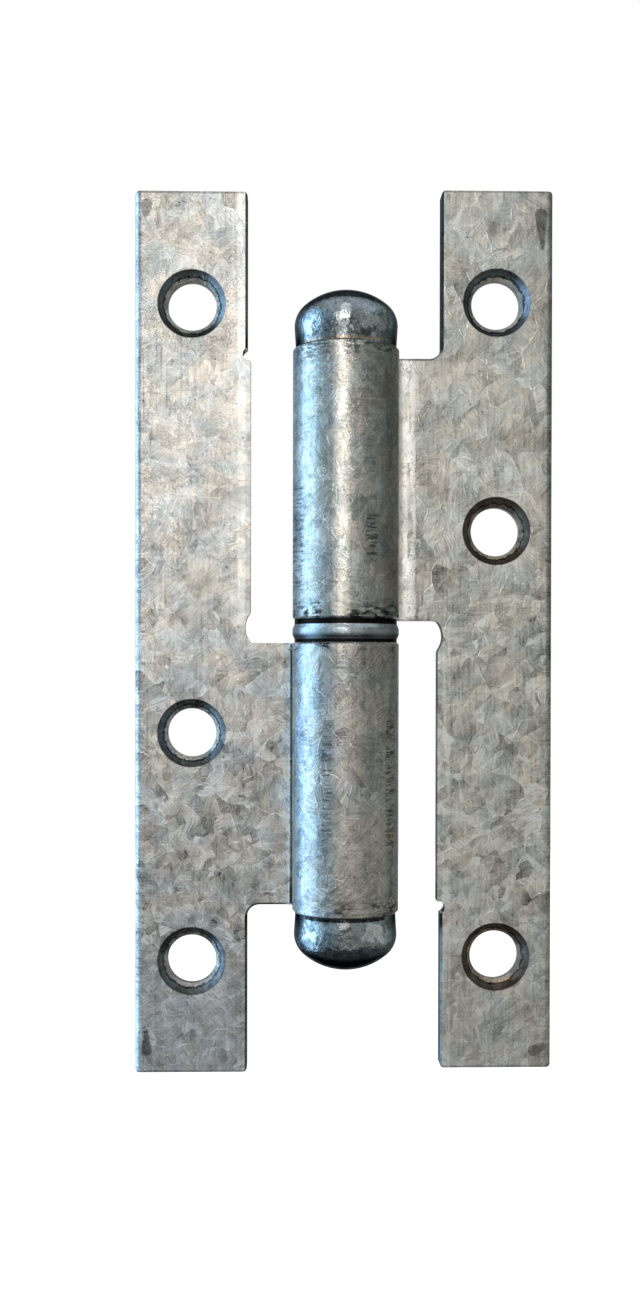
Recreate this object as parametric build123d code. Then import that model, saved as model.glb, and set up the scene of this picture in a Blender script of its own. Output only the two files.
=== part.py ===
from build123d import *
import os
from math import acos, atan2, cos, degrees, radians, sin, sqrt

# A lift-off hinge of two blanked and rolled steel leaves, in millimetres. The pin's axis is Z.
# The countersunk faces look along -Y. The origin is on the pin's axis, half way up the bearing ring.
# The lower leaf, with x below zero, goes on the frame. The upper leaf, with x above zero, goes on the door.

# Leaves
leaf_height = 140.0
leaf_reach = 33.3
sheet = 3.0
knuckle_length = 41.75
knuckle_to_end = 26.7
strip_inner = 14.95
strip_inner_at_ends = 15.45
leaf_corner = 0.6
knuckle_corner = 2.0

# Traces of the blanking press on the edges
relief_radius = 3.6
relief_depth = 0.85
relief_drop = 2.5
relief_corner = 0.9
relief_end_round = 1.0
nick_radius = 1.0
nick_height = 44.1
inner_edge_chamfer = 0.35
outer_edge_roll = 1.1
knuckle_chamfer = 0.3

# Shallow pressed marks near the corners of the leaves, each with two round ends: place and radius
upper_dents = [((31.3, 66.5, 1.0), (31.6, 61.2, 0.3)), ((30.5, -67.1, 0.9), (32.0, -66.4, 0.6))]
lower_dents = [((-31.4, 67.6, 0.85), (-31.6, 66.1, 0.5)), ((-31.4, -66.8, 0.85), (-31.5, -63.8, 0.4))]
dent_depth = 0.12

# Screw holes: a steep countersink, a flatter land below it, and a plain wall
hole_radius = 3.9
sink_radius = 5.4
sink_depth = 1.3
land_radius = 4.5
plain_wall = 1.3
hole_column = 24.3
end_hole_inset = 17.75
middle_hole_height = 16.15

# Rolls of the knuckles, with angles about the pin's axis, where 0 is towards +X and 90 towards +Y
front_bend_radius = 1.0
lower_roll_start = 180.0
lower_roll_end = 490.0
upper_roll_start = 90.0
upper_roll_end = 357.0
seam = 0.25
roll_end_round = 0.4

# Pin, bearing ring and top plug
pin_radius = 5.2
running_gap = 0.05
pin_tip_height = 30.0
pin_tip_chamfer = 1.2
ring_height = 3.6
collar_radius = 7.95
bead_radius = 8.26
bead_height = 2.3
bead_middle = -0.17
bead_flat = 0.9
plug_length = 10.0

# The domed head that the pin and the plug share; its height is the crown's, before the small flat on top
head_base_radius = 7.8
head_radius = 8.0
head_widest = 3.5
head_height = 9.0
head_shoulder = 4.0
crown_flat = 1.6

# Worked out from the sizes above
bore_radius = pin_radius + running_gap
barrel_radius = bore_radius + sheet
front_face = bore_radius
back_face = barrel_radius
ring_half = ring_height / 2
knuckle_end = ring_half + knuckle_length
leaf_end = knuckle_end + knuckle_to_end
far_end = leaf_end - leaf_height
hole_heights = (leaf_end - end_hole_inset, middle_hole_height, far_end + end_hole_inset)
clear = 1.0
tolerance = 0.001


def half_chord(radius, offset):
    """Half the length of a circle's chord that lies this far from the centre."""
    return sqrt(radius**2 - offset**2)


def polar(radius, angle):
    """The point at this radius and angle about the pin's axis."""
    return (radius * cos(radians(angle)), radius * sin(radians(angle)))


def blank_outline(root):
    """The flat part of the upper leaf, in the plane of the leaf, with its knuckle tab ending at root."""
    relief_x = strip_inner + relief_depth - relief_radius
    relief_z = ring_half - relief_drop
    relief_start = relief_x + half_chord(relief_radius, relief_drop)
    relief_low = relief_z - half_chord(relief_radius, strip_inner - relief_x)
    nick_x = (strip_inner + strip_inner_at_ends) / 2
    nick_chord = half_chord(nick_radius, strip_inner - nick_x)
    nick_top = -nick_height + nick_chord
    nick_low = -nick_height - nick_chord
    edges = [
        Polyline((strip_inner_at_ends, nick_low), (strip_inner_at_ends, far_end), (leaf_reach, far_end)),
        Polyline((leaf_reach, far_end), (leaf_reach, leaf_end), (strip_inner_at_ends, leaf_end)),
        Polyline((strip_inner_at_ends, leaf_end), (strip_inner_at_ends, knuckle_end), (root, knuckle_end)),
        Polyline((root, knuckle_end), (root, ring_half), (relief_start, ring_half)),
        ThreePointArc(
            (relief_start, ring_half),
            (relief_x + relief_radius, relief_z),
            (strip_inner, relief_low),
        ),
        Line((strip_inner, relief_low), (strip_inner, nick_top)),
        ThreePointArc(
            (strip_inner, nick_top),
            (nick_x + nick_radius, -nick_height),
            (strip_inner_at_ends, nick_low),
        ),
    ]
    outline = make_face(Curve() + edges)
    rounded = [
        ((strip_inner_at_ends, knuckle_end), knuckle_corner),
        ((relief_start, ring_half), relief_corner),
        ((strip_inner, relief_low), relief_end_round),
    ]
    for place, radius in rounded:
        outline = fillet(outline.vertices().sort_by_distance(place)[0], radius)
    return outline


def corner_cutter(x, z):
    """What a rounded corner of the upper leaf's flat part loses at this place."""
    inward_x = leaf_corner if x < leaf_reach else -leaf_corner
    inward_z = leaf_corner if z < 0 else -leaf_corner
    rounding = Rot(90, 0, 0) * Cylinder(leaf_corner, 2 * sheet)
    block = Box(2 * leaf_corner, 2 * sheet, 2 * leaf_corner)
    return Pos(x, back_face, z) * (block - Pos(inward_x, 0, inward_z) * rounding)


def front_edge_near(leaf, x, z):
    """The front edge whose middle is nearest to this place in the plane of the leaf."""
    front = leaf.edges().group_by(Axis.Y)[0]
    return front.sort_by(lambda edge: (edge.center() - Vector(x, front_face, z)).length)[0]


def flat_leaf(root):
    """The flat part of the upper leaf, its long front edges eased as a blanking press leaves them."""
    leaf = Pos(0, front_face, 0) * extrude(Plane.XZ * blank_outline(root), -sheet)
    leaf = fillet(front_edge_near(leaf, leaf_reach, 0), outer_edge_roll)
    for z in ((leaf_end + knuckle_end) / 2, (far_end - nick_height) / 2):
        leaf = chamfer(front_edge_near(leaf, strip_inner_at_ends, z), inner_edge_chamfer)
    for x in (leaf_reach, strip_inner_at_ends):
        for z in (leaf_end, far_end):
            leaf -= corner_cutter(x, z)
    return leaf


def rolled_knuckle(section):
    """A knuckle of this cross-section, standing on z = 0, with its outer edges eased at both ends."""
    knuckle = extrude(section, knuckle_length)
    for end in (0, -1):
        arcs = knuckle.edges().filter_by(GeomType.CIRCLE)
        rims = arcs.filter_by(lambda arc: abs(arc.radius - barrel_radius) < tolerance)
        knuckle = chamfer(rims.sort_by(Axis.Z)[end], knuckle_chamfer)
    return knuckle


def upper_roll():
    """The upper knuckle: rolled from the back of the leaf round the front, with a seam before the leaf."""
    sweep = upper_roll_end - upper_roll_start
    outer_end = Vector(*polar(barrel_radius, upper_roll_end))
    inner_end = Vector(*polar(bore_radius, upper_roll_end))
    slant = Vector(*polar(1, upper_roll_end + 90))
    straight = slant * ((front_face - seam - outer_end.Y) / slant.Y)
    edges = [
        CenterArc((0, 0), barrel_radius, upper_roll_start, sweep),
        Polyline(outer_end, outer_end + straight, inner_end + straight, inner_end),
        CenterArc((0, 0), bore_radius, upper_roll_start, sweep),
        Line(polar(barrel_radius, upper_roll_start), polar(bore_radius, upper_roll_start)),
    ]
    section = make_face(Curve() + edges)
    lip = section.vertices().sort_by_distance(outer_end + straight)[0]
    section = fillet(lip, roll_end_round)
    return Pos(0, 0, ring_half) * rolled_knuckle(section)


def lower_roll(root):
    """The lower knuckle: bent forward from the leaf, then rolled round the front and past the back."""
    sweep = lower_roll_end - lower_roll_start
    bend_y = front_face - front_bend_radius
    edges = [
        CenterArc((-root, bend_y), front_bend_radius, 90, -90),
        Line((-barrel_radius, bend_y), (-barrel_radius, 0)),
        CenterArc((0, 0), barrel_radius, lower_roll_start, sweep),
        Line(polar(barrel_radius, lower_roll_end), polar(bore_radius, lower_roll_end)),
        CenterArc((0, 0), bore_radius, lower_roll_start, sweep),
        Line((-bore_radius, 0), (-bore_radius, bend_y)),
        CenterArc((-root, bend_y), front_bend_radius + sheet, 0, 90),
        Line((-root, back_face), (-root, front_face)),
    ]
    section = make_face(Curve() + edges)
    return Pos(0, 0, -knuckle_end) * rolled_knuckle(section)


def screw_cutter(x, z):
    """The shape of one countersunk screw hole, with its larger end towards the front."""
    flare = (sink_radius - land_radius) / sink_depth
    half_section = Polyline(
        (0, -clear),
        (sink_radius + clear * flare, -clear),
        (land_radius, sink_depth),
        (hole_radius, sheet - plain_wall),
        (hole_radius, sheet + clear),
        (0, sheet + clear),
        close=True,
    )
    cutter = revolve(make_face(Plane.XZ * half_section), Axis.Z)
    return Pos(x, front_face, z) * Rot(-90, 0, 0) * cutter


def dent_cutter(ends):
    """The tool that presses a shallow mark into the front face, between two round ends."""
    circles = Sketch() + [Pos(x, z) * Circle(radius) for x, z, radius in ends]
    outline = make_hull(circles.edges())
    return Pos(0, front_face + dent_depth, 0) * extrude(Plane.XZ * outline, clear)


def upper_leaf():
    leaf = flat_leaf(0) + upper_roll()
    for height in hole_heights:
        leaf -= screw_cutter(hole_column, height)
    for ends in upper_dents:
        leaf -= dent_cutter(ends)
    return leaf


def lower_leaf():
    """The same blank as the upper leaf's, turned half a turn about Y, with a shorter tab for its own roll."""
    root = barrel_radius + front_bend_radius
    leaf = Rot(0, 180, 0) * flat_leaf(root) + lower_roll(root)
    for height in hole_heights:
        leaf -= screw_cutter(-hole_column, -height)
    for ends in lower_dents:
        leaf -= dent_cutter(ends)
    return leaf


def domed_head():
    """A turned head standing on z = 0: it widens a little to a shoulder, below a flattened crown."""
    shoulder_x = head_radius - head_shoulder
    shoulder_top = head_height - head_shoulder
    crown_z = (shoulder_x**2 + head_widest**2 - shoulder_top**2) / (2 * (head_widest - shoulder_top))
    crown_radius = head_height - crown_z
    meeting = degrees(atan2(head_widest - crown_z, shoulder_x))
    crown_end = degrees(acos(crown_flat / crown_radius))
    flat_z = crown_z + half_chord(crown_radius, crown_flat)
    edges = [
        Polyline((0, 0), (head_base_radius, 0), (head_radius, head_widest)),
        CenterArc((shoulder_x, head_widest), head_shoulder, 0, meeting),
        CenterArc((0, crown_z), crown_radius, meeting, crown_end - meeting),
        Polyline((crown_flat, flat_z), (0, flat_z), (0, 0)),
    ]
    return revolve(Plane.XZ * make_face(Curve() + edges), Axis.Z)


def hinge_pin():
    """The pin: pressed into the lower knuckle, a running fit above it, with its head underneath."""
    pressed = extrude(Pos(0, 0, -knuckle_end) * Circle(bore_radius), knuckle_length)
    shank = extrude(Pos(0, 0, -ring_half) * Circle(pin_radius), ring_half + pin_tip_height)
    shank = chamfer(shank.edges().group_by(Axis.Z)[-1], pin_tip_chamfer)
    head = Pos(0, 0, -knuckle_end) * Rot(180, 0, 0) * domed_head()
    return pressed + shank + head


def bearing_ring():
    """The ring between the knuckles: a crowned bead between two collars that are a little narrower."""
    half_section = Polyline(
        (bore_radius, ring_half),
        (collar_radius, ring_half),
        (collar_radius, bead_middle + bead_height / 2),
        (bead_radius, bead_middle + bead_flat / 2),
        (bead_radius, bead_middle - bead_flat / 2),
        (collar_radius, bead_middle - bead_height / 2),
        (collar_radius, -ring_half),
        (bore_radius, -ring_half),
        close=True,
    )
    return revolve(Plane.XZ * make_face(half_section), Axis.Z)


def top_plug():
    """The headed plug that closes the upper knuckle."""
    shank = extrude(Circle(bore_radius), -plug_length)
    return Pos(0, 0, knuckle_end) * (shank + domed_head())


if __name__ == "__main__":
    os.makedirs("parts", exist_ok=True)
    pieces = {
        "lower_leaf": lower_leaf(),
        "upper_leaf": upper_leaf(),
        "hinge_pin": hinge_pin(),
        "bearing_ring": bearing_ring(),
        "top_plug": top_plug(),
    }
    for name, piece in pieces.items():
        export_step(piece, f"parts/{name}.step")
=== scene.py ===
from math import pi, radians
from types import SimpleNamespace
import bpy
from mathutils import Matrix, Vector

# Lengths in named values are in millimetres unless they say otherwise, and Blender's are in metres.
MM = 0.001

# The photograph's frame and the camera that was fitted to it, with its angles in degrees
FRAME_HEIGHT = 1299
FOCAL_PIXELS = 1356.0
CAMERA_PLACE = (-8.96, -210.79, -5.39)
CAMERA_PITCH = -0.5876
CAMERA_YAW = -1.3545
CAMERA_ROLL = -0.087
SHIFT_DOWN_PIXELS = 30.0
SENSOR = 36.0
CLIP_START = 10.0
CLIP_END = 20000.0

# Places on the upper leaf that the finish depends on; the lower leaf has them half a turn round
HOLE_COLUMN = 24.3
HOLE_HEIGHTS = (52.5, 16.15, -52.0)
HOLE_RADIUS = 3.9
LAND_RADIUS = 4.5
SINK_RADIUS = 5.4
LEAF_REACH = 33.3
LEAF_END = 70.25
FAR_END = -69.75
STRIP_INNER = 14.95
NICK_HEIGHT = 44.1
KNUCKLE_LOW = 1.8
KNUCKLE_TOP = 43.55

# Ranges there, each as its start, its end and how softly it fades beyond them
NEAR_SEAM = (9.7, 10.9, 0.6)
SEAM_HEIGHTS = (2.5, 43.0, 1.0)
BEND_ACROSS = (7.4, 9.2, 0.7)
BEND_DEPTH = (1.6, 5.6, 0.6)

# The bead of the bearing ring, and the height of the heads' feet above and below the middle
BEAD_MIDDLE = -0.17
BEAD_HALF = 1.15
HEAD_FOOT = 43.55

# The pressed marks, in the frame's own x and z: two round ends with their radii, and how dark they are
UPPER_DENTS = (
    (((31.3, 66.5, 1.0), (31.6, 61.2, 0.3)), 0.6),
    (((30.5, -67.1, 0.9), (32.0, -66.4, 0.6)), 0.5),
)
LOWER_DENTS = (
    (((-31.4, 67.6, 0.85), (-31.6, 66.1, 0.5)), 0.42),
    (((-31.4, -66.8, 0.85), (-31.5, -63.8, 0.4)), 0.68),
)

# The nets that the zinc's crystals come from: the cells' size and slenderness, and their lean in degrees
CRYSTAL_NETS = ((7.2, 1.6, 35.0), (4.6, 2.2, -50.0), (3.0, 1.5, 10.0))
FACETED_NETS = 2

# Factors that make further random numbers from the one number of a crystal
TONE_DRAW = 17.3
DIRECTION_DRAW = 71.9
HUE_DRAW = 43.7

# Scuffs on the knuckles: their ranges of turn about the pin, in radians, and of height, and their strength
SCUFFS = (
    ((-1.5, -1.0, 0.15), (7.0, 22.0, 2.0), 0.95),
    ((0.36, 0.56, 0.05), (10.5, 17.5, 0.6), 0.95),
    ((-0.45, -0.32, 0.06), (-31.0, -14.5, 2.0), 0.85),
    ((0.82, 1.06, 0.08), (-32.0, -14.0, 2.0), 0.95),
)

# The floor's size and its height below the hinge's middle
FLOOR_SIZE = 6000.0
FLOOR_DEPTH = 450.0

# Cards that the metal reflects: name, centre, width and height, colour, and the point that it faces
CARDS = (
    ("front_card", (52, -620, -60), (665, 1300), (0.39, 0.39, 0.378), (52, 0, -60)),
    ("right_high_card", (390, -340, 275), (560, 550), (0.175, 0.19, 0.182), (0, -340, 275)),
    ("right_high_back_card", (390, 170, 275), (460, 550), (0.1, 0.115, 0.11), (0, 170, 275)),
    ("right_low_card", (390, -270, -275), (700, 550), (0.27, 0.285, 0.27), (0, -270, -275)),
    ("right_low_back_card", (390, 240, -275), (320, 550), (0.15, 0.165, 0.16), (0, 240, -275)),
    ("dim_left_card", (-285, -375, 0), (490, 1100), (0.29, 0.39, 0.47), (0, -375, 0)),
    ("left_card", (-285, -50, 0), (160, 1100), (0.42, 0.72, 1.0), (0, -50, 0)),
    ("left_side_card", (-285, 130, 0), (200, 1100), (0.92, 1.5, 2.3), (0, 130, 0)),
    ("left_back_card", (-285, 335, 0), (210, 1100), (0.5, 0.95, 1.5), (0, 335, 0)),
    ("back_card", (52, 450, 0), (680, 1100), (0.38, 0.38, 0.37), (52, 0, 0)),
    ("top_front_card", (50, -130, 300), (680, 420), (0.5, 0.55, 0.58), (50, -130, 0)),
    ("top_back_card", (50, 230, 300), (680, 300), (0.05, 0.06, 0.065), (50, 230, 0)),
    ("low_front_card", (50, -130, -300), (680, 420), (0.06, 0.07, 0.075), (50, -130, 0)),
    ("low_back_card", (50, 230, -300), (680, 300), (0.04, 0.045, 0.05), (50, 230, 0)),
)

# Lamps, which all face the hinge's middle: name, centre, width and height, colour, and brightness
LAMPS = (
    ("warm_core", (-32, -320, 100), (30, 180), (1.0, 0.97, 0.92), 2.2),
    ("warm_panel", (-55, -320, 105), (120, 200), (1.0, 0.97, 0.92), 1.55),
    ("blue_panel", (-270, -20, 0), (150, 560), (0.53, 0.79, 1.0), 1.15),
)

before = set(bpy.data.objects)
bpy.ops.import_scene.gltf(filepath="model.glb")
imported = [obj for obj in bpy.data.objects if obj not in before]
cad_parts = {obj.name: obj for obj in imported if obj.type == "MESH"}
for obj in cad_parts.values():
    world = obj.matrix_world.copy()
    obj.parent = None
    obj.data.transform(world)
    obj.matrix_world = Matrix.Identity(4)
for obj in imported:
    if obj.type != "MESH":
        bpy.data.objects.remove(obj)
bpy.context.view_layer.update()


def rgb(red, green, blue):
    return (red, green, blue, 1.0)


WHITE = rgb(1.0, 1.0, 1.0)
GROOVE_BLACK = rgb(0.02, 0.02, 0.02)
PAINTED_BLUE_REFLECTION = rgb(0.46, 0.56, 0.66)
SINK_GREY = rgb(0.25, 0.247, 0.235)
SINK_GLINT = rgb(0.55, 0.62, 0.68)
LAND_GREY = rgb(0.55, 0.52, 0.47)
HOLE_WALL_GREY = rgb(0.42, 0.4, 0.37)
EDGE_HIGHLIGHT_ZINC = rgb(0.66, 0.63, 0.61)
FOOT_ZINC = rgb(0.56, 0.59, 0.615)
BROWN_SINK = rgb(0.205, 0.16, 0.118)
BROWN_LAND = rgb(0.44, 0.35, 0.26)

# What differs between the leaves; side is -1 for the lower one, which is turned half a turn about Y
UPPER_LOOK = SimpleNamespace(
    side=1,
    dents=UPPER_DENTS,
    warm_zinc=rgb(0.64, 0.605, 0.545),
    cool_zinc=rgb(0.575, 0.59, 0.565),
    own_hue=0.17,
    strokes_at_top=0.4,
    upright=0.9,
    streak=0.8,
    cloud=0.8,
    painted_left_light=0.4,
    painted_right_light=-0.2,
    glint=0.8,
)
LOWER_LOOK = SimpleNamespace(
    side=-1,
    dents=LOWER_DENTS,
    warm_zinc=rgb(0.6, 0.56, 0.51),
    cool_zinc=rgb(0.53, 0.54, 0.535),
    own_hue=0.26,
    strokes_at_top=0.8,
    upright=0.5,
    streak=1.15,
    cloud=0.5,
    painted_left_light=0.8,
    painted_right_light=0.08,
    glint=0.35,
)

# What differs between the heads' painted light and shade; the ranges and the crown's start are heights
# above the head's foot
PLUG_LOOK = SimpleNamespace(
    painted_dark_range=(-0.3, 2.6),
    painted_dark=0.6,
    glint_range=(3.2, 5.0),
    painted_crown_from=7.6,
    painted_crown_level=0.4,
    painted_foot_colour=rgb(0.85, 0.72, 0.58),
)
PIN_LOOK = SimpleNamespace(
    painted_dark_range=(2.6, 5.2),
    painted_dark=0.5,
    glint_range=(0.9, 2.2),
    painted_crown_from=5.4,
    painted_crown_level=0.15,
    painted_foot_colour=rgb(0.04, 0.04, 0.04),
)


class Graph:
    """The shader nodes of one material or world, added from inputs to outputs."""

    def __init__(self, tree):
        self.tree = tree
        tree.nodes.clear()

    def add(self, kind, inputs=None, **settings):
        node = self.tree.nodes.new("ShaderNode" + kind)
        for name, value in settings.items():
            setattr(node, name, value)
        for name, value in (inputs or {}).items():
            self.put(node.inputs[name], value)
        return node

    def put(self, socket, value):
        if isinstance(value, bpy.types.NodeSocket):
            self.tree.links.new(value, socket)
        else:
            socket.default_value = value

    def math(self, operation, *values, clamp=False):
        node = self.add("Math", dict(enumerate(values)), operation=operation, use_clamp=clamp)
        return node.outputs[0]

    def vector(self, operation, *values):
        node = self.add("VectorMath", dict(enumerate(values)), operation=operation)
        return node.outputs["Vector"]

    def chain(self, operation, values):
        """The values combined by one operation, from the first to the last."""
        result = values[0]
        for value in values[1:]:
            result = self.math(operation, result, value)
        return result

    def product(self, *values):
        return self.chain("MULTIPLY", values)

    def total(self, *values):
        return self.chain("ADD", values)

    def largest(self, *values):
        return self.chain("MAXIMUM", values)

    def smallest(self, *values):
        return self.chain("MINIMUM", values)

    def minus(self, first, second):
        return self.math("SUBTRACT", first, second)

    def inverse(self, value):
        return self.minus(1.0, value)

    def absolute(self, value):
        return self.math("ABSOLUTE", value)

    def redrawn(self, number, factor):
        """Another random number from 0 to 1, made from the first."""
        return self.math("FRACT", self.product(number, factor))

    def length(self, first, second):
        return self.math("SQRT", self.total(self.product(first, first), self.product(second, second)))

    def turn_about_pin(self, x, y):
        """The turn about the pin's axis in radians, 0 in front and positive to the right."""
        return self.math("ARCTAN2", x, self.product(y, -1.0))

    def noise(self, place, scale, detail=2.0, roughness=0.5):
        inputs = {"Vector": place, "Scale": scale, "Detail": detail, "Roughness": roughness}
        return self.add("TexNoise", inputs).outputs["Fac"]

    def stretched(self, place, scales, detail=2.0, roughness=0.5):
        """Noise drawn out along the axes whose scale is low."""
        return self.noise(self.vector("MULTIPLY", place, scales), 1.0, detail, roughness)

    def swing(self, value, amount):
        """How far the value is from one half, times the amount."""
        return self.product(self.minus(value, 0.5), amount)

    def step(self, value, low, high, start=0.0, end=1.0):
        """A smooth step from start to end while the value goes from low to high."""
        inputs = {"Value": value, "From Min": low, "From Max": high, "To Min": start, "To Max": end}
        return self.add("MapRange", inputs, interpolation_type="SMOOTHSTEP").outputs["Result"]

    def fall(self, value, low, high):
        """A smooth step from 1 to 0 while the value goes from low to high."""
        return self.step(value, low, high, 1.0, 0.0)

    def window(self, value, low, high, soft):
        """1 where the value lies between low and high, and 0 outside, over edges this soft."""
        return self.product(self.step(value, low - soft, low), self.fall(value, high, high + soft))

    def contour(self, value, width):
        """1 along the lines where a noise value is one half, and 0 this far off them."""
        return self.fall(self.absolute(self.minus(value, 0.5)), 0.0, width)

    def mix(self, factor, first, second, blend="MIX"):
        node = self.add("Mix", {"Factor": factor}, data_type="RGBA", blend_type=blend)
        self.put(node.inputs[6], first)
        self.put(node.inputs[7], second)
        return node.outputs[2]

    def grey(self, level):
        return self.add("CombineColor", {"Red": level, "Green": level, "Blue": level}).outputs["Color"]

    def shaded(self, colour, level):
        return self.mix(1.0, colour, self.grey(level), "MULTIPLY")

    def outside_mark(self, x, z, ends):
        """How far a point lies outside a mark that runs between two round ends."""
        (first_x, first_z, first_radius), (last_x, last_z, last_radius) = ends
        run_x = last_x - first_x
        run_z = last_z - first_z
        squared = run_x**2 + run_z**2
        off_x = self.minus(x, first_x)
        off_z = self.minus(z, first_z)
        shares = self.product(off_x, run_x / squared), self.product(off_z, run_z / squared)
        part = self.math("ADD", *shares, clamp=True)
        near_x = self.minus(off_x, self.product(part, run_x))
        near_z = self.minus(off_z, self.product(part, run_z))
        radius = self.total(self.product(part, last_radius - first_radius), first_radius)
        return self.minus(self.length(near_x, near_z), radius)

    def seen(self):
        """1 for the rays that may see a backdrop: from the camera, off a gloss or through glass."""
        path = self.add("LightPath").outputs
        return self.largest(path["Is Camera Ray"], path["Is Glossy Ray"], path["Is Transmission Ray"])

    def emission(self, colour, strength):
        return self.add("Emission", {"Color": colour, "Strength": strength}).outputs["Emission"]

    def output(self, surface, kind="Material"):
        self.add("Output" + kind, {"Surface": surface})

    def metal(self, colour, rough, height, edge_tint, normal=None):
        """Bare metal of this colour, roughness and relief."""
        relief = {"Height": height, "Distance": MM, "Strength": 1.0}
        if normal is not None:
            relief["Normal"] = normal
        bump = self.add("Bump", relief).outputs["Normal"]
        inputs = {"Base Color": colour, "Metallic": 1.0, "Roughness": rough, "Normal": bump}
        inputs["Specular Tint"] = edge_tint
        self.output(self.add("BsdfPrincipled", inputs).outputs["BSDF"])


def new_material(name):
    material = bpy.data.materials.new(name)
    material.use_nodes = True
    return material, Graph(material.node_tree)


def surface_place(g):
    """The point on the surface, in millimetres, as a vector and by its parts."""
    coordinates = g.add("TexCoord").outputs
    scaled = g.add("VectorMath", {0: coordinates["Object"], "Scale": 1 / MM}, operation="SCALE")
    place = scaled.outputs["Vector"]
    return place, g.add("SeparateXYZ", {"Vector": place}).outputs


def leaf_place(g, side):
    """Where a point of a leaf lies: across and along run the same way on both leaves."""
    place, point = surface_place(g)
    x, y, z = point["X"], point["Y"], point["Z"]
    at = SimpleNamespace(place=place, x=x, y=y, z=z)
    at.across = g.product(x, float(side))
    at.along = g.product(z, float(side))
    at.radius = g.length(x, y)
    at.turn = g.turn_about_pin(x, y)
    at.on_barrel = g.product(g.fall(at.radius, 8.5, 9.0), g.fall(y, 4.7, 5.2))
    at.off_barrel = g.inverse(at.on_barrel)
    at.in_front = g.fall(y, 7.5, 7.8)
    return at


def crystals(g, place, z):
    """Zinc crystals: in nets that overlap, the cell with the highest random number shows.

    They are smaller towards the foot of the hinge. Gives the shown number, the distances to the borders
    of the first nets, and their facets' slant.
    """
    warp = g.add("TexNoise", {"Vector": place, "Scale": 0.4, "Detail": 2.0}).outputs["Color"]
    bend = g.vector("MULTIPLY", g.vector("SUBTRACT", warp, (0.5, 0.5, 0.5)), (1.1, 1.1, 1.1))
    fineness = g.total(1.2, g.product(z, -0.0035))
    bent = g.vector("MULTIPLY", g.vector("ADD", place, bend), g.grey(fineness))
    own_numbers = []
    borders = []
    slants = []
    for net, (size, slender, lean) in enumerate(CRYSTAL_NETS):
        turned = g.add("VectorRotate", {"Vector": bent, "Angle": radians(lean), "Axis": (0.0, 1.0, 0.0)})
        drawn = g.vector("MULTIPLY", turned.outputs["Vector"], (slender, 1.0, 1.0))
        cell = g.add("TexVoronoi", {"Vector": drawn, "Scale": 1 / size}).outputs
        numbers = g.add("SeparateColor", {"Color": cell["Color"]}).outputs
        own_numbers.append(numbers["Red"])
        if net < FACETED_NETS:
            edge = g.add("TexVoronoi", {"Vector": drawn, "Scale": 1 / size}, feature="DISTANCE_TO_EDGE")
            borders.append(g.product(edge.outputs["Distance"], size))
            off = g.add("SeparateXYZ", {"Vector": g.vector("SUBTRACT", drawn, cell["Position"])}).outputs
            downhill = g.product(numbers["Green"], 2 * pi)
            slant_x = g.product(off["X"], g.math("COSINE", downhill))
            slant_z = g.product(off["Z"], g.math("SINE", downhill))
            slants.append(g.product(g.total(slant_x, slant_z), 1 / size))
    return g.largest(*own_numbers), borders, slants


def zinc_pattern(g, at):
    """The crystals' tones, the streaks that run each one's own way, creases, grain and hair lines."""
    shown, borders, slants = crystals(g, at.place, at.z)
    zinc = SimpleNamespace(shown=shown)
    zinc.slant = g.total(*slants)
    zinc.tone = g.redrawn(shown, TONE_DRAW)
    direction = g.product(g.redrawn(shown, DIRECTION_DRAW), 2 * pi)
    turned = g.add("VectorRotate", {"Vector": at.place, "Angle": direction, "Axis": (0.0, 1.0, 0.0)})
    feather = turned.outputs["Vector"]
    zinc.streak = g.stretched(feather, (4.2, 0.8, 0.5), 3.0, 0.65)
    zinc.plume = g.stretched(feather, (1.1, 0.3, 0.16), 2.0)
    crease_where = g.step(g.noise(at.place, 0.4), 0.47, 0.58)
    zinc.crease = g.product(g.fall(borders[0], 0.04, 0.22), crease_where)
    crack_where = g.step(g.noise(at.place, 0.33), 0.5, 0.4)
    zinc.crack = g.product(g.fall(borders[1], 0.04, 0.13), crack_where)
    zinc.grain = g.noise(at.place, 3.4, 3.0, 0.75)
    hair_where = g.step(g.noise(at.place, 0.3), 0.44, 0.58)
    zinc.hair = g.product(g.contour(g.noise(at.place, 1.9, 3.0, 0.6), 0.025), hair_where)

    # The crystals stand out less high up, close to the foot, and on the barrel
    high_up = g.step(at.z, -30.0, 45.0, 1.0, 0.62)
    near_foot = g.step(at.z, -60.0, -42.0, 0.6, 1.0)
    zinc.crisp = g.product(high_up, near_foot, g.step(at.on_barrel, 0.0, 1.0, 1.0, 0.45))
    return zinc


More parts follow.
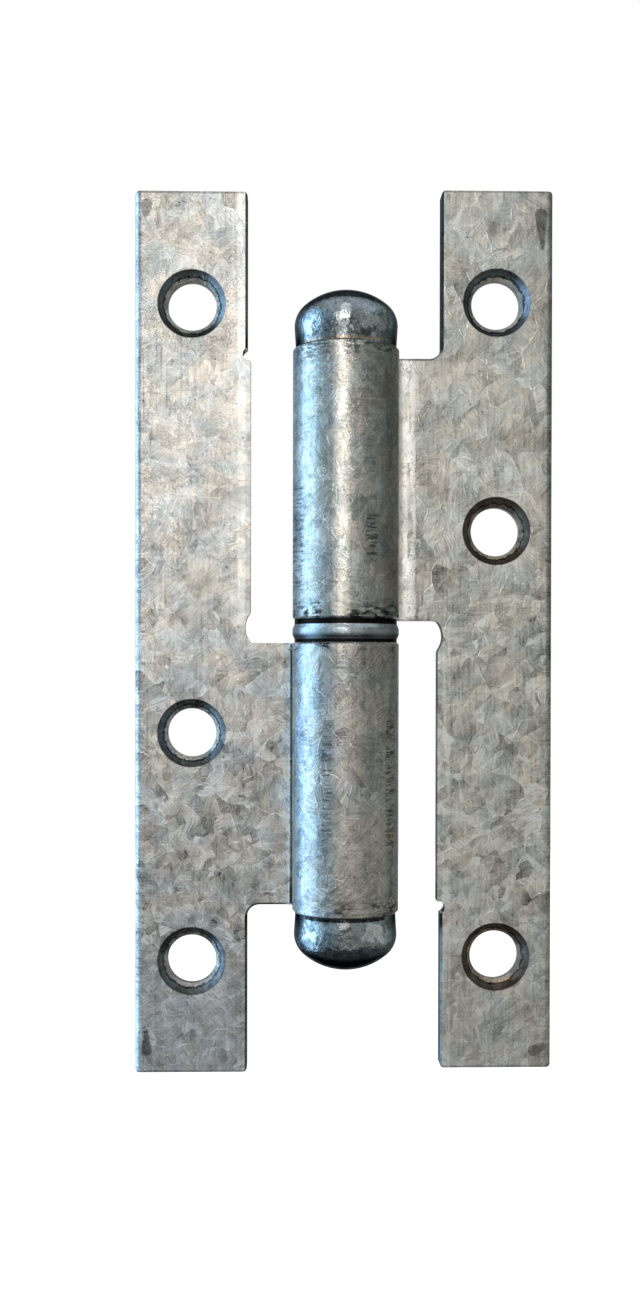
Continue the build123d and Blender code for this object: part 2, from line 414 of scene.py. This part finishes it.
def bare_level(g, at, zinc, look):
    """How light the clean zinc is, around 1."""
    upright = g.stretched(at.place, (3.2, 3.2, 0.35), 3.0, 0.65)
    stroke_where = g.step(g.noise(at.place, 0.28), 0.42, 0.58)
    stroke_where = g.product(stroke_where, g.step(at.z, -20.0, 30.0, 1.0, look.strokes_at_top))
    light_stroke = g.product(g.step(zinc.streak, 0.56, 0.62), stroke_where)
    dark_stroke = g.product(g.step(zinc.streak, 0.43, 0.37), stroke_where)
    curl_where = g.step(g.noise(at.place, 0.35), 0.42, 0.56)
    curl = g.product(g.contour(g.noise(at.place, 1.2, 3.0, 0.6), 0.03), curl_where)
    cloud = g.noise(at.place, 0.13, 3.0, 0.6)
    rolling_lines = g.stretched(at.place, (2.6, 2.6, 0.05))
    bright_crystal = g.product(g.step(zinc.tone, 0.84, 0.88), g.step(zinc.streak, 0.48, 0.62), zinc.crisp)
    dark_crystal = g.product(g.step(zinc.tone, 0.12, 0.08), g.step(zinc.plume, 0.35, 0.6), zinc.crisp)
    return g.total(
        1.05,
        g.product(light_stroke, 0.13),
        g.product(dark_stroke, -0.13),
        g.product(curl, g.step(at.on_barrel, 0.0, 1.0, -0.1, -0.26)),
        g.product(g.swing(zinc.tone, 0.44), zinc.crisp),
        g.product(bright_crystal, 0.42),
        g.product(dark_crystal, -0.14),
        g.product(zinc.slant, zinc.crisp, 0.36),
        g.product(zinc.hair, zinc.crisp, 0.36),
        g.product(zinc.crease, zinc.crisp, 0.3),
        g.swing(upright, look.upright),
        g.swing(zinc.streak, look.streak),
        g.swing(zinc.plume, 0.9),
        g.swing(cloud, look.cloud),
        g.swing(rolling_lines, 0.4),
        g.swing(zinc.grain, 1.15),
    )


def painted_highlight_level(g, at, zinc, look):
    """How much lighter the knuckle's rims are, with painted highlights on the strip's inner edge and
    beside the seam.
    """
    from_low = g.minus(at.along, KNUCKLE_LOW)
    from_top = g.minus(KNUCKLE_TOP, at.along)
    near_end = g.window(g.smallest(from_low, from_top), -0.1, 0.3, 0.05)
    rim = g.product(g.step(at.radius, 7.8, 7.9), near_end, at.on_barrel)
    highlight_breakup = g.stretched(at.place, (1.0, 1.0, 0.12), 2.0, 0.6)
    # Painted highlight along the strip's inner edge: low on the upper leaf, high on the lower leaf
    inner_edge = g.window(at.across, STRIP_INNER + 1.0, STRIP_INNER + 1.9, 0.3)
    inner_edge = g.product(inner_edge, g.step(at.along, 3.0, -3.0), g.step(highlight_breakup, 0.35, 0.6))
    lighter = [g.product(rim, 0.2), g.product(inner_edge, 0.36)]
    if look is LOWER_LOOK:
        # Painted light: a glow along the lower leaf's inner strip, high up
        glow = g.product(g.step(at.across, STRIP_INNER + 6.0, STRIP_INNER + 0.5), g.step(at.z, -5.0, 10.0))
        lighter.append(g.product(glow, 0.24))
    else:
        # Painted highlights beside the seam; the upper leaf is also a little lighter low down
        seam_heights = g.window(at.along, *SEAM_HEIGHTS)
        beside_seam = g.product(g.step(at.across, 12.5, 9.0), seam_heights, at.off_barrel)
        low_part = g.product(g.step(at.z, 0.0, -25.0), at.off_barrel)
        sheen = g.product(g.step(highlight_breakup, 0.42, 0.55), g.step(zinc.grain, 0.42, 0.58, 0.2, 1.3), 2.1)
        sheen = g.product(g.window(at.across, *NEAR_SEAM), seam_heights, g.total(sheen, -0.1))
        lighter += [sheen, g.product(beside_seam, 0.16), g.product(low_part, 0.07)]
    return g.total(*lighter)


def flat_dirt(g, at, zinc):
    """Straight scratches, specks, ticks across beside the outer edge, and lines along the leaf's ends."""
    scratch_where = g.product(g.step(g.noise(at.place, 0.1), 0.46, 0.6), at.off_barrel)
    across_scratch = g.step(g.stretched(at.place, (0.07, 0.07, 5.0), 1.0), 0.66, 0.72)
    along_scratch = g.step(g.stretched(at.place, (5.0, 5.0, 0.07), 1.0), 0.66, 0.72)
    speck_cell = g.add("TexVoronoi", {"Vector": at.place, "Scale": 0.6}).outputs["Distance"]
    speck = g.product(g.fall(speck_cell, 0.05, 0.14), g.step(g.noise(at.place, 0.3, 1.0), 0.54, 0.62))
    ticks = g.step(g.stretched(at.place, (0.4, 0.4, 3.2), 3.0, 0.7), 0.5, 0.66)
    near_edge = g.step(at.across, LEAF_REACH - 2.1, LEAF_REACH - 1.0)
    near_end = g.window(at.along, LEAF_END - 0.25, LEAF_END + 1.0, 0.15)
    near_far_end = g.window(at.along, FAR_END - 1.0, FAR_END + 0.25, 0.15)
    return [
        g.product(zinc.crack, zinc.crisp, 0.13),
        g.product(speck, 0.55),
        g.product(across_scratch, scratch_where, 0.15),
        g.product(along_scratch, scratch_where, 0.42),
        g.product(near_edge, ticks, g.step(at.z, 60.0, 10.0, 0.15, 0.45)),
        g.product(near_end, 0.35),
        g.product(near_far_end, 0.35),
    ]


def dark_marks(g, at, zinc, dents):
    """The pressed marks are darker, more so along their rims."""
    darkening = []
    for ends, fill in dents:
        outside = g.outside_mark(at.x, at.z, ends)
        rim = g.product(g.window(outside, -0.16, 0.0, 0.14), g.step(zinc.grain, 0.38, 0.62))
        darkening.append(g.product(g.step(outside, -0.35, 0.08, fill, 0.0), at.in_front))
        darkening.append(g.product(rim, at.in_front, 0.42))
    return darkening


def dark_walls(g, at, look):
    """The cut walls of the strip are dark, most of all beside the nick and along the knuckles' slots."""
    normal = g.add("SeparateXYZ", {"Vector": g.add("TexCoord").outputs["Normal"]}).outputs
    wall = g.product(g.step(g.absolute(normal["X"]), 0.5, 0.8), g.fall(at.across, 16.0, 16.4))
    wall = g.product(wall, g.step(at.radius, 8.7, 9.3))
    fleck = g.step(g.noise(at.place, 1.6, 3.0, 0.7), 0.6, 0.68, 0.8, 0.25)
    off_nick = g.absolute(g.minus(g.absolute(at.z), NICK_HEIGHT))
    darkening = [g.product(wall, fleck), g.product(wall, g.step(off_nick, 1.5, 4.5, 0.5, 0.0))]
    if look is UPPER_LOOK:
        darkening.append(g.product(wall, g.step(at.along, 47.0, 50.0), 0.8))
    return darkening


def knuckle_dirt(g, at):
    """The knuckle is worn dark in patches at both ends, and scuffed round the pin's axis."""
    from_low = g.minus(at.along, KNUCKLE_LOW)
    from_top = g.minus(KNUCKLE_TOP, at.along)
    worn_low = g.product(g.fall(from_low, 0.8, 3.6), g.step(from_low, -0.5, -0.4), 0.9)
    worn_top = g.product(g.fall(from_top, 1.2, 4.6), g.step(from_top, -0.5, -0.4), 0.7)
    patch = g.step(g.stretched(at.place, (0.6, 0.6, 1.5), 4.0, 0.75), 0.45, 0.56)
    patch = g.product(patch, g.step(g.noise(at.place, 0.22, 2.0), 0.4, 0.56))
    scuff = g.step(g.stretched(at.place, (0.35, 0.35, 3.2), 3.0, 0.75), 0.5, 0.57)
    scuffed = g.step(g.noise(at.place, 0.2, 1.0), 0.52, 0.62, 0.0, 0.35)
    for turns, heights, strength in SCUFFS:
        place = g.product(g.window(at.turn, *turns), g.window(at.z, *heights), strength)
        scuffed = g.largest(scuffed, place)
    return [
        g.product(at.on_barrel, g.largest(worn_low, worn_top), patch),
        g.product(at.on_barrel, scuff, scuffed, 0.75),
    ]


def sheet_colour(g, at, zinc, look, painted_left_light):
    """The zinc's colour: warmer and cooler patches, a painted highlight on the lower leaf's rounded outer
    edge, a bluer foot there, and a painted blue reflection.
    """
    own_hue = g.product(g.minus(g.redrawn(zinc.shown, HUE_DRAW), 0.5), zinc.crisp, look.own_hue)
    hue = g.math("ADD", g.step(g.noise(at.place, 0.18), 0.4, 0.62), own_hue, clamp=True)
    colour = g.mix(hue, look.warm_zinc, look.cool_zinc)
    if look is LOWER_LOOK:
        # Painted highlight along the rounded outer edge
        painted_edge_highlight = g.step(at.across, LEAF_REACH - 2.2, LEAF_REACH - 0.2, 0.0, 0.95)
        colour = g.mix(g.product(painted_edge_highlight, g.step(zinc.streak, 0.3, 0.6, 0.8, 1.0)), colour, EDGE_HIGHLIGHT_ZINC)
        colour = g.mix(g.step(at.z, -42.0, -62.0, 0.0, 0.7), colour, FOOT_ZINC)
    return g.mix(g.product(painted_left_light, 1.6), colour, PAINTED_BLUE_REFLECTION)


def with_countersinks(g, at, look, colour):
    """The colour with the holes in it: a dark cone, a black line at its foot, a lighter land, and a
    painted glint.

    Gives the colour and where the land is.
    """
    off_across = g.minus(at.across, HOLE_COLUMN)
    distances = [g.length(off_across, g.minus(at.along, height)) for height in HOLE_HEIGHTS]
    hole = g.smallest(*distances)
    ragged = g.total(hole, g.swing(g.noise(at.place, 1.1, 3.0, 0.7), 1.1))
    cone = g.product(g.fall(hole, SINK_RADIUS + 0.02, SINK_RADIUS + 0.1), at.in_front)
    land = g.product(g.fall(ragged, LAND_RADIUS - 0.03, LAND_RADIUS + 0.1), at.in_front)
    groove = g.product(g.window(ragged, LAND_RADIUS - 0.05, LAND_RADIUS + 0.1, 0.08), at.in_front)
    wall_of_hole = g.fall(hole, HOLE_RADIUS + 0.02, HOLE_RADIUS + 0.08)
    sink_colour = SINK_GREY
    land_colour = LAND_GREY
    if look is UPPER_LOOK:
        top_hole = g.step(at.z, 30.0, 36.0)
        sink_colour = g.mix(top_hole, BROWN_SINK, SINK_GREY)
        land_colour = g.mix(top_hole, BROWN_LAND, LAND_GREY)
    # Painted highlight: a bluish glint on the right of each leaf's top countersink
    right_of_hole = g.step(g.product(off_across, float(look.side)), 2.6, 4.8)
    glint = g.product(right_of_hole, g.step(at.z, 30.0, 40.0), look.glint)
    sink = g.shaded(sink_colour, g.step(hole, SINK_RADIUS, LAND_RADIUS, 0.75, 1.35))
    sink = g.mix(glint, sink, SINK_GLINT)
    colour = g.mix(cone, colour, sink)
    colour = g.mix(land, colour, land_colour)
    colour = g.mix(g.product(groove, 0.85), colour, GROOVE_BLACK)
    return g.mix(wall_of_hole, colour, HOLE_WALL_GREY), land


def galvanised_sheet(name, look):
    """Hot-dip galvanised sheet: grey zinc crystals with fine streaks, creases along them, and wear, with
    painted highlights and painted light and shade on the knuckle's sides.
    """
    material, g = new_material(name)
    at = leaf_place(g, look.side)
    zinc = zinc_pattern(g, at)
    darkening = flat_dirt(g, at, zinc) + dark_marks(g, at, zinc, look.dents)
    darkening += dark_walls(g, at, look) + knuckle_dirt(g, at)
    darkening = g.smallest(g.total(*darkening), 0.94)
    # Painted light on the knuckle: lighter on its left, with a painted blue reflection there, and lighter
    # or, where negative, darker on its right
    painted_left_light = g.product(at.on_barrel, g.step(at.turn, -0.8, -1.25, 0.0, look.painted_left_light))
    painted_right_light = g.product(at.on_barrel, g.step(at.turn, 0.55, 1.0, 0.0, look.painted_right_light))
    painted_side_light = g.total(painted_left_light, painted_right_light, 1.0)
    rough = g.total(
        0.36,
        g.swing(zinc.tone, 0.12),
        g.swing(zinc.streak, 0.2),
        g.product(at.on_barrel, -0.1),
        g.product(darkening, 0.2),
    )
    relief = g.total(
        g.product(zinc.streak, 0.025),
        g.product(zinc.grain, 0.022),
        g.product(zinc.tone, 0.012),
        g.product(zinc.hair, -0.01),
        g.product(zinc.crease, 0.02),
    )

    # The lower leaf bends smoothly into its knuckle and is painted lighter in the bend, lifting the shade
    # there; the upper one rises a little beside its seam
    if look is LOWER_LOOK:
        bend = g.product(g.window(at.across, *BEND_ACROSS), g.window(at.y, *BEND_DEPTH))
        painted_side_light = g.total(painted_side_light, g.product(bend, 0.35))
        rough = g.total(rough, g.product(bend, 0.4))
    else:
        rise = g.product(g.step(at.across, 9.0, 10.9), g.fall(at.across, 10.9, 17.0))
        rise = g.product(rise, g.window(at.along, *SEAM_HEIGHTS), at.off_barrel)
        relief = g.total(relief, g.product(rise, 0.12))

    level = g.total(bare_level(g, at, zinc, look), painted_highlight_level(g, at, zinc, look))
    level = g.product(level, g.inverse(darkening), painted_side_light)
    colour = sheet_colour(g, at, zinc, look, painted_left_light)
    colour, land = with_countersinks(g, at, look, colour)
    rough = g.total(rough, g.product(land, -0.1))
    g.metal(g.shaded(colour, level), rough, relief, rgb(0.7, 0.7, 0.7))
    return material


def plated_head(name, look):
    """Bright zinc plate on turned steel: blue grey, mottled and lightly pitted, with painted light and
    shade: a darker crown, glints, a pale reflection and shaded sides.
    """
    material, g = new_material(name)
    place, point = surface_place(g)
    above_foot = g.minus(g.absolute(point["Z"]), HEAD_FOOT)
    turn = g.turn_about_pin(point["X"], point["Y"])
    pits = g.noise(place, 1.5, 3.0, 0.7)
    cloud = g.noise(place, 0.42, 3.0, 0.65)
    grit = g.noise(place, 5.0, 2.0, 0.7)
    pit = g.step(pits, 0.55, 0.68)
    stain = g.step(cloud, 0.52, 0.66)

    # The patches have ragged borders, because their places wander with the noise
    way = g.total(turn, g.swing(cloud, 1.6))
    up = g.total(above_foot, g.swing(g.noise(place, 0.45, 2.0, 0.6), 5.0))
    # Painted light: a dark patch in front that dims the reflection, a glint, a spot highlight on the left
    # with painted shade beside it, and a pale painted reflection on the right
    painted_dark_patch = g.product(g.window(way, -0.42, 0.3, 0.16), g.window(up, *look.painted_dark_range, 0.8))
    painted_dark_patch = g.product(painted_dark_patch, g.step(pits, 0.36, 0.56, 0.4, 1.0), look.painted_dark)
    glint = g.product(g.window(turn, -0.11, 0.0, 0.06), g.window(up, *look.glint_range, 0.5))
    painted_spot_highlight = g.product(g.window(way, -0.86, -0.62, 0.16), g.window(up, 1.7, 3.4, 1.0))
    painted_shade_beside_spot = g.product(g.step(way, -0.36, -0.56), g.inverse(painted_spot_highlight), 0.25)
    painted_pale_reflection = g.product(g.window(way, 0.5, 0.85, 0.16), g.window(up, 1.4, 3.6, 0.7))
    painted_pale_reflection = g.product(painted_pale_reflection, g.step(pits, 0.3, 0.5, 0.6, 1.1))
    # Painted shade low on the head's sides
    painted_shade_low_sides = g.product(g.fall(above_foot, 0.4, 3.2), g.window(above_foot, 0.0, 4.0, 0.05))
    painted_shade_low_sides = g.product(painted_shade_low_sides, g.step(g.absolute(turn), 0.8, 1.25), 0.85)

    mottled = g.total(0.9, g.swing(cloud, 1.5), g.swing(grit, 1.6))
    mottled = g.total(mottled, g.product(pit, -0.4), g.product(stain, -0.45))
    # The level carries the painted light and shade above, and a painted darker crown
    level = g.product(
        mottled,
        g.inverse(painted_dark_patch),
        g.inverse(painted_shade_beside_spot),
        g.total(painted_pale_reflection, g.product(glint, 1.2), g.product(painted_spot_highlight, 0.7), 1.0),
        g.step(above_foot, look.painted_crown_from, look.painted_crown_from + 1.2, 1.0, look.painted_crown_level),
        g.inverse(painted_shade_low_sides),
    )
    level = g.largest(level, 0.06)
    # A painted line at the foot: a tan reflection of the knuckle on the plug, black shade of the gap on
    # the pin
    painted_foot_line = g.product(g.window(above_foot, -0.1, 0.45, 0.1), g.window(turn, -0.9, 0.8, 0.1))
    plate = g.mix(g.product(painted_foot_line, g.step(pits, 0.2, 0.45)), rgb(0.52, 0.58, 0.6), look.painted_foot_colour)
    rough = g.total(0.06, g.product(cloud, 0.1), g.product(pit, 0.12))
    relief = g.total(g.product(pits, 0.08), g.product(cloud, 0.14), g.product(grit, 0.01))
    g.metal(g.shaded(plate, level), rough, relief, rgb(0.26, 0.3, 0.34))
    return material


def ring_with_painted_gap_shade(name):
    """The bearing ring: a bright bead, painted darker on its lower half, between collars painted black as
    the shade in the gaps.
    """
    material, g = new_material(name)
    place, point = surface_place(g)
    off_middle = g.minus(point["Z"], BEAD_MIDDLE)
    bead = g.window(off_middle, -BEAD_HALF + 0.05, BEAD_HALF - 0.05, 0.06)
    cloud = g.noise(place, 0.6, 3.0, 0.65)
    grit = g.noise(place, 3.0, 3.0, 0.7)
    level = g.total(1.0, g.swing(cloud, 0.9), g.swing(grit, 0.8))
    # Painted shade: the bead is darker on its lower half
    level = g.product(level, g.step(off_middle, -0.75, 0.15, 0.2, 1.0))
    plate = g.shaded(rgb(0.6, 0.65, 0.68), level)
    # The collars are painted black as the shade in the gaps beside the bead
    painted_gap_shade = g.mix(g.step(grit, 0.6, 0.7), rgb(0.012, 0.011, 0.01), rgb(0.06, 0.05, 0.04))
    rough = g.total(0.2, g.product(cloud, 0.1))
    relief = g.total(g.product(cloud, 0.1), g.product(grit, 0.03))
    rounded = g.add("Bevel", {"Radius": 0.5 * MM}, samples=8).outputs["Normal"]
    g.metal(g.mix(bead, painted_gap_shade, plate), rough, relief, rgb(0.5, 0.5, 0.5), rounded)
    return material


def finish_node(node, material):
    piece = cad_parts[node]
    piece.data.materials.clear()
    piece.data.materials.append(material)


def background():
    """The world: white where it is seen, straight or in the metal, and a plain light level elsewhere."""
    world = bpy.data.worlds.new("studio")
    world.use_nodes = True
    bpy.context.scene.world = world
    g = Graph(world.node_tree)
    colour = g.mix(g.seen(), rgb(0.85, 0.85, 0.85), WHITE)
    light = g.add("Background", {"Color": colour, "Strength": 1.0})
    g.output(light.outputs["Background"], "World")


def floor():
    """A plain pale floor well below the hinge, which hangs free as it would on its door frame."""
    bpy.ops.mesh.primitive_plane_add(size=FLOOR_SIZE * MM, location=(0, 0, -FLOOR_DEPTH * MM))
    plane = bpy.context.object
    plane.name = "floor"
    material, g = new_material("pale_floor")
    matt = g.add("BsdfDiffuse", {"Color": rgb(0.7, 0.7, 0.7)}).outputs["BSDF"]
    glow = g.emission(WHITE, g.product(g.seen(), 0.6))
    g.output(g.add("AddShader", {0: matt, 1: glow}).outputs["Shader"])
    plane.data.materials.append(material)


def facing(place, target):
    """The rotation of something at place that looks along its own -Z at the target."""
    return (Vector(target) - Vector(place)).to_track_quat("-Z", "Y").to_euler()


def lamp(name, place, size, colour, brightness):
    """A soft rectangular lamp that faces the hinge's middle; its brightness is the same at any size."""
    data = bpy.data.lights.new(name, "AREA")
    data.shape = "RECTANGLE"
    data.size, data.size_y = (length * MM for length in size)
    data.color = colour
    area = data.size * data.size_y
    data.energy = brightness * area * pi
    light = bpy.data.objects.new(name, data)
    light.location = Vector(place) * MM
    light.rotation_euler = facing(place, (0, 0, 0))
    light.visible_camera = False
    bpy.context.scene.collection.objects.link(light)


def card(name, place, size, colour, target):
    """A card that the metal reflects, outside the picture."""
    bpy.ops.mesh.primitive_plane_add(size=1.0)
    plane = bpy.context.object
    plane.name = name
    plane.location = Vector(place) * MM
    plane.rotation_euler = facing(place, target)
    plane.scale = (size[0] * MM, size[1] * MM, 1)
    material, g = new_material(name)
    g.output(g.emission(rgb(*colour), 1.0))
    plane.data.materials.append(material)
    plane.visible_camera = False
    plane.visible_diffuse = False
    plane.visible_shadow = False
    plane.visible_transmission = False


def photo_camera():
    """The camera of the photograph."""
    data = bpy.data.cameras.new("photo_camera")
    data.sensor_fit = "VERTICAL"
    data.sensor_height = SENSOR
    data.lens = FOCAL_PIXELS / FRAME_HEIGHT * SENSOR
    data.shift_y = SHIFT_DOWN_PIXELS / FRAME_HEIGHT
    data.clip_start = CLIP_START * MM
    data.clip_end = CLIP_END * MM
    camera = bpy.data.objects.new("photo_camera", data)
    turn = Matrix.Rotation(radians(CAMERA_YAW), 4, "Z") @ Matrix.Rotation(radians(CAMERA_PITCH), 4, "X")
    turn = turn @ Matrix.Rotation(radians(CAMERA_ROLL), 4, "Y") @ Matrix.Rotation(radians(90), 4, "X")
    camera.matrix_world = Matrix.Translation(Vector(CAMERA_PLACE) * MM) @ turn
    bpy.context.scene.collection.objects.link(camera)
    bpy.context.scene.camera = camera


finish_node("top_plug", plated_head("zinc_plated_plug", PLUG_LOOK))
finish_node("hinge_pin", plated_head("zinc_plated_pin", PIN_LOOK))
finish_node("upper_leaf", galvanised_sheet("galvanised_upper", UPPER_LOOK))
finish_node("lower_leaf", galvanised_sheet("galvanised_lower", LOWER_LOOK))
finish_node("bearing_ring", ring_with_painted_gap_shade("ring_with_painted_gap_shade"))

background()
floor()
for values in CARDS:
    card(*values)
for values in LAMPS:
    lamp(*values)
photo_camera()
bpy.context.scene.view_settings.view_transform = "Standard"
